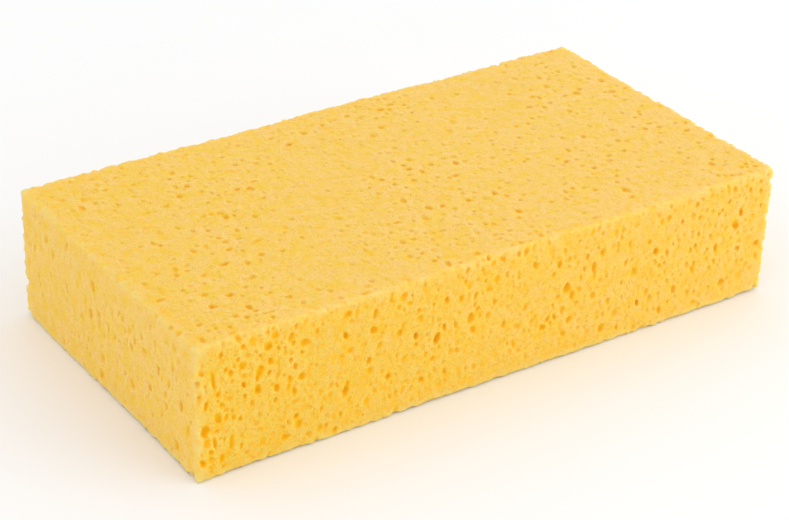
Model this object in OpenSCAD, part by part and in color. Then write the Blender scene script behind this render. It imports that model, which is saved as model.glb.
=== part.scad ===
// Block sponge of cellulose foam, for washing down, pasting and grouting.
// One solid block, cut from a larger loaf, so that the blade has opened the
// bubbles that lay in its way. Millimetres, +Z up, origin at the middle of the
// underside, with the length along X and the width along Y.

/* [Block] */
// Length of the block
block_length = 190; // [150:5:230]
// Width of the block
block_width = 100; // [80:5:130]
// Thickness of the block
block_height = 40; // [30:1:50]
// Radius that the cut leaves on every edge
edge_radius = 1; // [0.6:0.1:2]

/* [Pores] */
// Radius of the largest bubble that the cut opens
bubble_radius_max = 2.4; // [1.6:0.1:3]
// Radius of the smallest bubble that is drawn
bubble_radius_min = 0.9; // [0.6:0.1:1.2]
// Distance between neighbouring bubbles, at least
bubble_pitch = 11; // [9:1:16]
// Share of the places on a face that hold a bubble
bubble_share = 0.85; // [0.5:0.05:1]
// Number that the pattern of bubbles starts from
pattern_seed = 17; // [1:1:99]

/* [Hidden] */
$fn = 48;

foam_colour = [0.97, 0.80, 0.38];
// A bubble's centre lies from this share of its radius outside the cut...
centre_highest = 0.35;
// ...to this share of its radius inside it.
centre_deepest = 0.5;
// Least foam left between two bubbles
foam_wall = 0.4;
// Small bubbles far outnumber large ones: the power that skews their sizes
size_skew = 2.5;
// Strip along a face's border that no bubble reaches, so that the bubbles of
// two faces never meet at their common edge
border = bubble_radius_max * (1 + centre_deepest) + foam_wall;

// How many bubbles fit along a side of a face, and how far apart they then are
function places(side) = floor((side - 2 * border) / bubble_pitch);
function pitch(side) = (side - 2 * border) / places(side);
// The middle of one of those places, measured from the middle of the side
function place(i, side) = (i + 0.5) * pitch(side) - side / 2 + border;
// A bubble's radius, from a number between 0 and 1
function bubble_radius(u) =
    bubble_radius_min + (bubble_radius_max - bubble_radius_min) * pow(u, size_skew);

// A rectangle whose corners are true arcs
module rounded_rectangle(x, y, r) {
    square([x - 2 * r, y], center = true);
    square([x, y - 2 * r], center = true);
    for (sx = [-1, 1], sy = [-1, 1])
        translate([sx * (x / 2 - r), sy * (y / 2 - r)]) circle(r);
}

// A bar of length z, standing on the origin, with rounded upright edges
module rounded_bar(x, y, z, r) {
    linear_extrude(height = z) rounded_rectangle(x, y, r);
}

// The block before its pores are opened, with all twelve edges rounded
module cut_block() {
    intersection() {
        rounded_bar(block_length, block_width, block_height, edge_radius);
        translate([-block_length / 2, 0, block_height / 2]) rotate([0, 90, 0])
            rounded_bar(block_height, block_width, block_length, edge_radius);
        translate([0, block_width / 2, block_height / 2]) rotate([90, 0, 0])
            rounded_bar(block_length, block_height, block_width, edge_radius);
    }
}

// The bubbles that one cut opens, on a face of x by y in the XY plane. Each
// stays inside its own place, so that no two touch.
module opened_bubbles(x, y, seed) {
    // Five numbers for each place: shown or not, radius, height and two shifts
    count = places(x) * places(y);
    chance = rands(0, 1, 5 * count, seed);
    for (i = [0 : places(x) - 1], j = [0 : places(y) - 1]) {
        at = 5 * (i * places(y) + j);
        if (chance[at] < bubble_share) {
            r = bubble_radius(chance[at + 1]);
            height = r * (centre_highest
                - (centre_highest + centre_deepest) * chance[at + 2]);
            room_x = pitch(x) / 2 - r - foam_wall;
            room_y = pitch(y) / 2 - r - foam_wall;
            translate([
                place(i, x) + room_x * (2 * chance[at + 3] - 1),
                place(j, y) + room_y * (2 * chance[at + 4] - 1),
                height
            ]) sphere(r);
        }
    }
}

// The six cuts that free the block from the loaf, each with its own bubbles
module all_opened_bubbles() {
    middle = block_height / 2;
    translate([0, 0, block_height])
        opened_bubbles(block_length, block_width, pattern_seed);
    rotate([180, 0, 0])
        opened_bubbles(block_length, block_width, pattern_seed + 1);
    for (side = [-1, 1]) {
        translate([0, side * block_width / 2, middle]) rotate([-90 * side, 0, 0])
            opened_bubbles(block_length, block_height, pattern_seed + 3 + side);
        translate([side * block_length / 2, 0, middle]) rotate([0, 90 * side, 0])
            opened_bubbles(block_height, block_width, pattern_seed + 6 + side);
    }
}

// The one piece: the block with its pores
module sponge_block() {
    color(foam_colour) difference() {
        cut_block();
        all_opened_bubbles();
    }
}

sponge_block();
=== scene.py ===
import math

import bpy
import numpy as np
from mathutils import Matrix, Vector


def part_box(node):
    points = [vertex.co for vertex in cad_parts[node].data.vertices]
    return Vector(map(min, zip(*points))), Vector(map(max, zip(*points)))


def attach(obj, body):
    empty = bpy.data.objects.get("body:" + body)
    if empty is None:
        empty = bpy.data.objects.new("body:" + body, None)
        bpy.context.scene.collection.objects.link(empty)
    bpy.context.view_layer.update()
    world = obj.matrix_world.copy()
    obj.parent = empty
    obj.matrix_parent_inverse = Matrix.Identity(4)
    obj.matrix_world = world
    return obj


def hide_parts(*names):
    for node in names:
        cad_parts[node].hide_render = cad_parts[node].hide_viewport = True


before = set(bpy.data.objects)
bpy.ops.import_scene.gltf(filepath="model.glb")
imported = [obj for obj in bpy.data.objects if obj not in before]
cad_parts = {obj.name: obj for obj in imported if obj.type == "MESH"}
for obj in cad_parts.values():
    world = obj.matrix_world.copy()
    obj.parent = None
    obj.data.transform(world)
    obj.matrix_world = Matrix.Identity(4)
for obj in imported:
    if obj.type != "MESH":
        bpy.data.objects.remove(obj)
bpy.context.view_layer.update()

import openvdb
from mathutils import Matrix, Vector

# ---------------------------------------------------------------------------
# The sponge: one block of cellulose foam. Viscose is set into a loaf round
# crystals of salt, the salt is washed out, and a blade slices the loaf into
# blocks, so every face is a cut through bubbles of many sizes.
# ---------------------------------------------------------------------------
MM = 0.001

# The foam is worked out in millimetres, as a field of distances on a grid:
# below zero in the foam, above zero in the air.
voxel = 0.4
margin = 4 * voxel
low, high = (np.array(corner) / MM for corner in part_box("sponge_block"))
middle, half = (low + high) / 2, (high - low) / 2
lines = [np.arange(a - margin, b + margin, voxel) for a, b in zip(low, high)]
start = np.array([line[0] for line in lines])


def across(axis, values):
    """A row of values, turned so that it runs along one axis of the grid."""
    shape = [1, 1, 1]
    shape[axis] = -1
    return np.asarray(values, np.float32).reshape(shape)


def swells(spacing, seed):
    """A smooth random field from -1 to 1, with its swells `spacing` mm apart."""
    counts = [int((line[-1] - line[0]) / spacing) + 2 for line in lines]
    field = np.random.default_rng(seed).uniform(-1, 1, counts).astype(np.float32)
    for axis, line in enumerate(lines):
        place = (line - line[0]) / spacing
        cell = place.astype(int)
        part = place - cell
        share = across(axis, part ** 2 * (3 - 2 * part))
        field = field.take(cell, axis) * (1 - share) + field.take(cell + 1, axis) * share
    return field


# The blade leaves flat cuts that waver a little, and edges that crumble.
edge_radius = 0.8
edge_band = 1.5
edge_wear = 0.3
usual_wear, most_wear = 0.5, 1.5
wear_patch, wear_spacing = 0.6, 2.4
face_wander = 0.3
wander_spacing = 24
coarse_lump, coarse_spacing = 0.14, 1.7
fine_lump, fine_spacing = 0.12, 0.9
past = [
    across(axis, np.abs(line - middle[axis]) - half[axis] + edge_radius)
    for axis, line in enumerate(lines)
]
beyond = np.sqrt(sum(np.maximum(distance, 0) ** 2 for distance in past))
nearest_cut = np.maximum(np.maximum(past[0], past[1]), past[2])
next_cut = np.maximum(np.minimum(past[0], past[1]), np.minimum(np.maximum(past[0], past[1]), past[2]))
cut = beyond + np.minimum(nearest_cut, 0) - edge_radius + face_wander * swells(wander_spacing, 3)

crumbs = swells(fine_spacing, 4)
at_edge = np.clip((next_cut + edge_band - edge_radius) / edge_band, 0, 1)
foam = cut + fine_lump * crumbs + coarse_lump * swells(coarse_spacing, 5)
wear = usual_wear + crumbs + wear_patch * swells(wear_spacing, 7)
foam += at_edge * edge_wear * np.clip(wear, 0, most_wear)
lump_spacing = 1.3
lumps = swells(lump_spacing, 6)
far_from_air = -9
veil = np.full(foam.shape, far_from_air, np.float32)

chance = np.random.default_rng(11)
ragged = 0.28
rim_width = 0.45
wall = 0.1
oval_spread = 0.15


def bubble(centre, radius, stretch, lean):
    """How far inside one bubble's air each point of the grid round it is. The
    bubble is `stretch` times as tall as it is wide, leans by `lean` mm for each
    mm of its height, and is a little wider one way than the other."""
    squash = math.exp(chance.normal(0, oval_spread))
    reach = radius * np.array([1.6, 1.6, 1.3 * stretch]) + 2 * voxel
    first = np.maximum(((centre - reach - start) / voxel).astype(int), 0)
    last = ((centre + reach - start) / voxel).astype(int) + 2
    box = tuple(slice(a, b) for a, b in zip(first, last))
    dx, dy, dz = (across(i, lines[i][box[i]] - centre[i]) for i in range(3))
    dx = (dx - lean[0] * dz) * squash
    dy = (dy - lean[1] * dz) / squash
    away = np.sqrt(dx * dx + dy * dy + (dz / stretch) ** 2) - radius
    return box, ragged * radius * lumps[box] - away


def open_bubble(centre, radius, stretch, lean):
    """Takes a bubble out of the foam, with a soft rim where the cut meets it."""
    box, air = bubble(centre, radius, stretch, lean)
    rim = rim_width * min(radius, 1)
    near = np.clip(1 - np.abs(foam[box] - air) / rim, 0, None)
    foam[box] = np.maximum(foam[box], air) + near ** 2 * rim / 4


def hide_bubble(centre, radius, stretch, lean):
    """Leaves a bubble whole behind the cut, where it only shows through."""
    box, air = bubble(centre, radius, stretch, lean)
    veil[box] = np.maximum(veil[box], air)


# The places of the bubbles made so far, and then rows that lie nowhere near.
most_bubbles = 20000
nowhere = 1e6
taken = np.full((most_bubbles, 4), nowhere)
taken_count = 0


def has_room(centre, radius, stretch):
    """Whether a bubble there stays clear of the ones already made. If it does,
    the place is taken for it."""
    global taken_count
    reach = radius * math.sqrt(stretch)
    others = taken[:taken_count + 1]
    apart = np.linalg.norm(others[:, :3] - centre, axis=1) - others[:, 3]
    if apart.min() < reach + wall:
        return False
    taken[taken_count] = [*centre, reach]
    taken_count += 1
    return True


# The widest bubbles of the three faces that meet at the near corner, each by
# its distances from that corner, its width and its height. Each face also says
# how far outside the cut their middles lie, in widths.
near_corner = np.array([low[0], low[1], high[2]])
widest_lean = 0.15
widest = {
    "long side": ((1, 0, 0), (0, 0, -1), 0.1, [
        (5, 11, 1.3, 7), (6, 22, 2, 3.6), (5, 29, 1.3, 4.4), (10, 31, 1.6, 4.6), (7, 35, 1.9, 3.4),
        (10, 10, 1.8, 2), (23, 3, 1.8, 2.8), (32, 8, 2.8, 2.2), (31, 18, 2.4, 2.4), (27, 20, 1.5, 2.4),
        (30, 32, 2.2, 3.6), (26, 35, 2.8, 2), (45, 4, 2.6, 2.6), (53, 11, 2.6, 2.4), (46, 15, 2.2, 2),
        (52, 23, 2.2, 2.6), (58, 27, 2, 2.4), (76, 9, 1.6, 2.6), (90, 18, 1.8, 2.4), (86, 33, 1.7, 2.4),
        (109, 28, 2.4, 2), (126, 14, 2.3, 4), (133, 5, 1.7, 3), (134, 9, 1.5, 3), (148, 15, 2.3, 2.5),
        (134, 31, 1.8, 3.2), (174, 33, 2.6, 2.2),
    ]),
    "end": ((0, 1, 0), (0, 0, -1), 0.18, [
        (11, 35, 3, 3.6), (8, 21, 2.4, 4), (53, 35, 1.8, 3.6), (72, 18, 1.8, 3.6), (27, 15, 2.4, 2.6),
        (35, 29, 2.6, 3), (58, 19, 2.4, 3.6),
    ]),
    "large face": ((1, 0, 0), (0, 1, 0), 0.15, [
        (86, 89, 2, 2.4), (109, 44, 1.8, 2.6), (34, 44, 2, 2.2), (17, 53, 1.5, 2.4), (21, 19, 1.8, 3),
        (30, 24, 2.4, 2.2), (30, 70, 1.8, 2), (36, 73, 2.2, 2.4), (24, 44, 2, 2.2), (79, 29, 1.8, 1.7),
        (144, 8, 2.2, 2.4), (184, 73, 2.6, 2.2), (130, 67, 2, 1.8),
    ]),
}
for along, aside, outside, bubbles in widest.values():
    outward = np.cross(along, aside)
    outward = outward * np.sign(np.dot(outward, near_corner - middle))
    for distance, rise, wide, tall in bubbles:
        centre = near_corner + distance * np.array(along) + rise * np.array(aside)
        centre = centre + outside * wide * outward
        stretch = tall / wide if aside[2] else 1.0
        radius = (wide if aside[2] else math.sqrt(wide * tall)) / 2
        if has_room(centre, radius, stretch):
            open_bubble(centre, radius, stretch, chance.uniform(-widest_lean, widest_lean, 2))

# The other bubbles, in sizes from the widest down: the radius, its spread, how
# many to a square centimetre, and how many radii the middle is sunk below the
# cut. A cut opens some, and the rest lie just behind it under a film of foam.
opened = [
    dict(radius=0.98, spread=0.18, crowd=0.5, sunk=(-0.6, 0.0)),
    dict(radius=0.71, spread=0.22, crowd=6.5, sunk=(-0.6, 0.0)),
    dict(radius=0.50, spread=0.22, crowd=21, sunk=(-0.7, -0.2)),
]
hidden = [
    dict(radius=0.95, spread=0.20, crowd=1.5, sunk=(1.0, 1.5)),
    dict(radius=0.60, spread=0.20, crowd=9.0, sunk=(0.9, 1.6)),
]
# The kinds of cut differ, by the axis they face: the ends (0) show few bubbles
# and show them long, the long sides (1) show the most, the large faces (2)
# show them round and shallow.
crowds = [0.38, 1.55, 1.05]
scales = [1.1, 1.0, 1.1]
shallowness = [0.36, 0.0, 0.36]
stretches = [(1.4, 2.3), (1.0, 1.8), (1.0, 1.4)]
contrasts = [0.4, 1.0, 0.52]
lean_most = 0.3
fully_open = 1.2


def openness(x, z):
    """How open a cut is there: the left of the block is coarser, and its base."""
    leftward = np.clip((middle[0] - x) / half[0] / 2 + 0.5, 0, 1)
    downward = np.clip((middle[2] - z) / half[2] / 2 + 0.5, 0, 1)
    return 0.7 + 0.4 * leftward ** 1.5 + 0.2 * downward * leftward


def scatter(axis, side, size, make):
    """Strews bubbles of one size over one cut, thinly along its edges."""
    edges = [i for i in range(3) if i != axis]
    area = np.prod(2 * half[edges]) / 100
    for _ in range(int(size["crowd"] * crowds[axis] * area)):
        radius = scales[axis] * size["radius"] * math.exp(chance.normal(0, size["spread"]))
        centre = middle + half * chance.uniform(-1, 1, 3)
        sunk = radius * (chance.uniform(*size["sunk"]) - shallowness[axis])
        centre[axis] = middle[axis] + side * (half[axis] - sunk)
        stretch = chance.uniform(*stretches[axis])
        lean = chance.uniform(-lean_most, lean_most, 2)
        inset = (half - np.abs(centre - middle))[edges].min()
        if chance.uniform(0, fully_open) > openness(centre[0], centre[2]):
            continue
        if inset < edge_band * chance.uniform(0, 1) + radius / 2:
            continue
        if has_room(centre, radius, stretch):
            make(centre, radius, stretch, lean)


for axis in range(3):
    for side in (-1, 1):
        for size in opened:
            scatter(axis, side, size, open_bubble)
        for size in hidden:
            scatter(axis, side, size, hide_bubble)

# Bubbles torn open along the edges: each edge by the axis that it runs along
# and the sides of the other two that it is on, with the mm to one bubble.
torn_edges = {
    (0, 1, 1): 3, (1, 1, 1): 3, (2, 1, -1): 2, (2, -1, 1): 3, (0, 1, -1): 5, (2, 1, 1): 3,
    (0, -1, 1): 12, (1, -1, 1): 12, (2, -1, -1): 20, (0, -1, -1): 30, (1, -1, -1): 10, (1, 1, -1): 5,
}
torn_radius, torn_spread = 0.65, 0.3
for (axis, *sides), pitch in torn_edges.items():
    edges = [i for i in range(3) if i != axis]
    for _ in range(int(2 * half[axis] / pitch)):
        radius = torn_radius * math.exp(chance.normal(0, torn_spread))
        centre = middle + half * chance.uniform(-1, 1, 3)
        sunk = radius * chance.uniform(-0.3, 0.7, 2)
        centre[edges] = middle[edges] + np.array(sides) * (half[edges] - sunk)
        open_bubble(centre, radius, chance.uniform(1.0, 1.6), chance.uniform(-lean_most, lean_most, 2))

grid = openvdb.FloatGrid(float(margin))
grid.copyFromArray(foam)
points, _, quads = grid.convertToPolygons(isovalue=0.0)


def largest_shell(count, faces):
    """Marks the corners that belong to the largest connected shell."""
    ends = np.stack([faces, np.roll(faces, 1, 1)]).reshape(2, -1)
    label = np.arange(count)
    while True:
        lowest = label[ends].min(0)
        joined = label.copy()
        np.minimum.at(joined, label[ends[0]], lowest)
        np.minimum.at(joined, label[ends[1]], lowest)
        joined = joined[joined]
        if (joined == label).all():
            return label == np.bincount(label).argmax()
        label = joined


kept = largest_shell(len(points), quads)
quads = (np.cumsum(kept) - 1)[quads[kept[quads[:, 0]]]]
points = points[kept]


def sample(field, pitch, places):
    """The field's values at points given in steps of the foam's grid."""
    place = np.clip(places / pitch, 0, np.array(field.shape) - 1.001)
    cell = place.astype(int)
    share = place - cell
    value = 0
    for corner in np.ndindex(2, 2, 2):
        weight = np.prod(np.where(corner, share, 1 - share), axis=1)
        value = value + weight * field[tuple((cell + corner).T)]
    return value


def softened(field, reach, passes=2):
    """The field, blurred by running means `reach` cells to each side."""
    count = 2 * reach + 1
    for axis in [0, 1, 2] * passes:
        pad = [(0, 0)] * 3
        pad[axis] = (reach + 1, reach)
        total = np.cumsum(np.pad(field, pad, "edge"), axis, dtype=np.float64)
        later = np.take(total, range(count, total.shape[axis]), axis)
        earlier = np.take(total, range(total.shape[axis] - count), axis)
        field = ((later - earlier) / count).astype(np.float32)
    return field


# What the finish goes by at each corner of the mesh: how closely foam
# surrounds it, near by and further off, which is about a half on a flat cut;
# how deep it is below the cut; whether a hidden bubble lies behind it; and how
# coarse the cut looks there.
film = 0.6
coarser = 2
fill = np.clip(0.5 - foam[::coarser, ::coarser, ::coarser] / (coarser * voxel), 0, 1)
from_middle = points * voxel + start - middle
facing = np.argmax(np.abs(from_middle) - half, 1)
measures = dict(
    enclosed=sample(softened(fill, 1), coarser, points),
    sheltered=sample(softened(fill, 3), coarser, points),
    depth=-sample(cut, 1, points),
    veiled=np.clip(1 + sample(veil, 1, points) / film, 0, 1),
    coarse=np.array(contrasts)[facing] * openness(*(from_middle + middle)[:, [0, 2]].T),
)
mesh = bpy.data.meshes.new("sponge")
mesh.from_pydata((points * voxel + start) * MM, [], quads)
for name, values in measures.items():
    attribute = mesh.attributes.new(name, "FLOAT", "POINT")
    attribute.data.foreach_set("value", values.astype(np.float32))

# The six cuts laid out flat on one sheet, the two large ones and the two long
# sides in a column and the ends beside them, for the finish to be baked on.
gap = 4.0
length, width, height = 2 * half
flat_axes = {0: (2, 1), 1: (0, 2), 2: (0, 1)}
corners = {
    (2, 1): (0, 0),
    (2, -1): (0, width + gap),
    (1, -1): (0, 2 * (width + gap)),
    (1, 1): (0, 2 * (width + gap) + height + gap),
    (0, -1): (length + gap, 0),
    (0, 1): (length + gap, width + gap),
}
sheet_size = 2 * (width + height + 2 * gap)
centres = from_middle[quads].mean(1)
faces_axis = np.argmax(np.abs(centres) - half, 1)
faces_side = np.where(centres[np.arange(len(centres)), faces_axis] > 0, 1, -1)
layout = np.empty((len(quads), 4, 2))
for (axis, side), corner in corners.items():
    on_cut = (faces_axis == axis) & (faces_side == side)
    flat = (from_middle + half)[quads[on_cut]][:, :, flat_axes[axis]]
    layout[on_cut] = (flat + corner + gap / 2) / sheet_size
mesh.uv_layers.new(name="OFBake").data.foreach_set("uv", layout.ravel())
mesh.shade_smooth()
sponge = bpy.data.objects.new("sponge", mesh)
bpy.context.scene.collection.objects.link(sponge)


class Value:
    """A shader socket that arithmetic can be written with."""

    def __init__(self, finish, socket):
        self.finish, self.socket = finish, socket

    def worked_out(self, operation, first, second):
        return self.finish.node("ShaderNodeMath", dict(operation=operation), first, second)

    def __add__(self, other):
        return self.worked_out("ADD", self, other)

    def __radd__(self, other):
        return self.worked_out("ADD", other, self)

    def __sub__(self, other):
        return self.worked_out("SUBTRACT", self, other)

    def __rsub__(self, other):
        return self.worked_out("SUBTRACT", other, self)

    def __mul__(self, other):
        return self.worked_out("MULTIPLY", self, other)

    def __rmul__(self, other):
        return self.worked_out("MULTIPLY", other, self)


class Finish:
    """A material, built from nodes."""

    def __init__(self, name):
        self.material = bpy.data.materials.new(name)
        self.material.use_nodes = True
        self.nodes = self.material.node_tree.nodes
        self.links = self.material.node_tree.links
        self.nodes.clear()

    def feed(self, socket, value):
        if isinstance(value, Value):
            self.links.new(value.socket, socket)
        else:
            socket.default_value = value

    def node(self, kind, settings, *inputs, out=0, **named):
        """A node of any kind, with its settings and then what its inputs hold."""
        made = self.nodes.new(kind)
        for key, value in settings.items():
            setattr(made, key, value)
        for key, value in [*enumerate(inputs), *named.items()]:
            self.feed(made.inputs[key], value)
        return Value(self, made.outputs[out]) if made.outputs else None

    def mix(self, share, first, second):
        """Two colours, blended by a share from 0 to 1."""
        made = self.nodes.new("ShaderNodeMix")
        made.data_type = "RGBA"
        sockets = {socket.identifier: socket for socket in made.inputs}
        self.feed(sockets["Factor_Float"], share)
        self.feed(sockets["A_Color"], first)
        self.feed(sockets["B_Color"], second)
        return Value(self, next(s for s in made.outputs if s.identifier == "Result_Color"))

    def ramp(self, value, low, high):
        """0 at low, 1 at high, and an even slope between."""
        return self.node("ShaderNodeMapRange", dict(clamp=True), value, low, high)

    def noise(self, place, spacing, detail):
        """Noise from 0 to 1, with its lumps about `spacing` mm apart."""
        return self.node("ShaderNodeTexNoise", {}, Vector=place, Scale=1 / (spacing * MM), Detail=detail)


gold_flesh, cream_flesh = (0.925, 0.565, 0.07, 1), (0.935, 0.585, 0.18, 1)
coarse_flesh = (0.825, 0.595, 0.10, 1)
speck = (0.75, 0.46, 0.055, 1)
behind_film = (0.95, 0.50, 0.02, 1)
small_bubble_shade = (0.93, 0.50, 0.035, 1)
hollow_shade = (0.98, 0.52, 0.015, 1)
pore_depth_shade = (0.96, 0.52, 0.006, 1)
torn_foam_and_highlight = (0.80, 0.65, 0.23, 1)

foam_finish = Finish("cellulose_foam")
node, mix, ramp, noise = foam_finish.node, foam_finish.mix, foam_finish.ramp, foam_finish.noise
place = node("ShaderNodeTexCoord", {}, out="Object")
enclosed, sheltered, depth, veiled, coarse = (
    node("ShaderNodeAttribute", dict(attribute_name=name), out="Fac") for name in measures
)
# Bubbles too small for the mesh: one to a cell, taller than wide.
fine_cell, fine_height = 1.35, 0.7
upright = node("ShaderNodeMapping", {}, Vector=place, Scale=(1, 1, fine_height))
away = node("ShaderNodeTexVoronoi", {}, Vector=upright, Scale=1 / (fine_cell * MM))
wobble = noise(place, 0.55, 2.0)
fine_radius = 0.12 + 0.36 * ramp(noise(place, 1.6, 0.0), 0.3, 0.7) * coarse
fine_bubble = ramp(fine_radius - away + 0.12 * (wobble - 0.5), -0.05, 0.12)

blotch = noise(place, 3.0, 2.5)
exposed_edge = 1 - ramp(sheltered, 0.24, 0.45)
colour = mix(ramp(blotch - 0.25 * (coarse - 0.65), 0.34, 0.66), gold_flesh, cream_flesh)
colour = mix(ramp(coarse, 0.35, 1.25) * 0.65, colour, coarse_flesh)
colour = mix(ramp(noise(place, 0.5, 1.5), 0.5, 0.8) * (0.6 + 0.7 * coarse), colour, speck)
colour = mix(veiled * (0.2 + 0.4 * coarse), colour, behind_film)
# Painted shade: the fine bubbles are drawn as amber spots, fewer on exposed edges, for the dimmer, deeper
# colour inside pits too small for the mesh.
colour = mix(fine_bubble * (1 - exposed_edge) * (0.22 + 0.53 * coarse), colour, small_bubble_shade)
# Painted shade: amber deepens where foam closes round a point, in the hollows of the bubbles.
colour = mix(ramp(enclosed, 0.53, 0.70) * 0.3, colour, hollow_shade)
# Painted shade: the walls of opened bubbles turn amber with depth below the cut, more where the cut is
# coarse.
colour = mix(ramp(depth, 0.06, 0.5) * (0.2 + 0.65 * coarse), colour, pore_depth_shade)
# Exposed edges and corners turn paler and greener: partly torn foam, partly a painted edge highlight.
colour = mix(exposed_edge * (0.4 + 0.4 * ramp(blotch, 0.35, 0.6)), colour, torn_foam_and_highlight)
relief_strength, relief_depth = 0.6, 0.2
surface = wobble * 0.6 - fine_bubble * 0.8
relief = node("ShaderNodeBump", {}, relief_strength, relief_depth * MM, Height=surface)
foam_skin = node("ShaderNodeBsdfPrincipled", {}, **{
    "Base Color": colour,
    "Roughness": 0.85,
    "IOR": 1.4,
    "Specular IOR Level": 0.2,
    "Subsurface Weight": 1.0,
    "Subsurface Radius": (1.0, 0.8, 0.4),
    "Subsurface Scale": 2.2 * MM,
    "Normal": relief,
})
node("ShaderNodeOutputMaterial", {}, foam_skin)
mesh.materials.append(foam_finish.material)

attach(sponge, "root")
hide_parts("sponge_block")

# ---------------------------------------------------------------------------
# The studio: a wide sheet of white paper under the sponge, an even white room
# round it, and one large soft light at the front right.
# ---------------------------------------------------------------------------
sheet_half = 3.0
sheet_corners = [(-1, -1), (1, -1), (1, 1), (-1, 1)]
floor_mesh = bpy.data.meshes.new("floor")
floor_mesh.from_pydata([(x * sheet_half, y * sheet_half, 0) for x, y in sheet_corners], [], [(0, 1, 2, 3)])
floor = bpy.data.objects.new("floor", floor_mesh)
floor.location.z = (low[2] - face_wander) * MM
bpy.context.scene.collection.objects.link(floor)

paper = Finish("white_paper")
pulp = paper.node("ShaderNodeTexNoise", {}, Scale=90.0)
paper_colour = paper.mix(pulp, (0.95, 0.95, 0.95, 1), (0.97, 0.97, 0.97, 1))
paper_skin = paper.node("ShaderNodeBsdfPrincipled", {}, **{
    "Base Color": paper_colour,
    "Roughness": 0.9,
    "Specular IOR Level": 0.1,
})
paper.node("ShaderNodeOutputMaterial", {}, paper_skin)
floor_mesh.materials.append(paper.material)

room = bpy.data.worlds.new("white_room")
room.use_nodes = True
room_light = room.node_tree.nodes["Background"].inputs
room_light["Color"].default_value = (1, 1, 1, 1)
room_light["Strength"].default_value = 0.985
bpy.context.scene.world = room


def facing_out(azimuth, elevation):
    """The direction from the sponge at these angles, the first from its front."""
    a, e = math.radians(azimuth), math.radians(elevation)
    return Vector((math.sin(a) * math.cos(e), -math.cos(a) * math.cos(e), math.sin(e)))


towards_light = facing_out(35, 25)
light_distance = 0.9
soft_light = bpy.data.lights.new("soft_light", "AREA")
soft_light.shape = "SQUARE"
soft_light.size = 0.7
soft_light.energy = 1.5
lamp = bpy.data.objects.new("soft_light", soft_light)
lamp.location = towards_light * light_distance
lamp.rotation_euler = towards_light.to_track_quat("Z", "Y").to_euler()
bpy.context.scene.collection.objects.link(lamp)

# ---------------------------------------------------------------------------
# The camera: a long lens at the front left, looking down on the sponge.
# ---------------------------------------------------------------------------
back = facing_out(-34.3, 29.5)
right = Vector((0, 0, 1)).cross(back).normalized()
roll = math.radians(1.5)
distance, aim_right, aim_up = 664, 1.8, 5.7
lens = bpy.data.cameras.new("camera")
lens.sensor_width = 36
lens.lens = 105.6
turn = Matrix((right, back.cross(right), back)).transposed() @ Matrix.Rotation(roll, 3, "Z")
camera = bpy.data.objects.new("camera", lens)
camera.rotation_euler = turn.to_euler()
camera.location = (Vector(middle) + turn @ Vector((-aim_right, -aim_up, distance))) * MM
bpy.context.scene.collection.objects.link(camera)
bpy.context.scene.camera = camera
bpy.context.scene.view_settings.view_transform = "Standard"
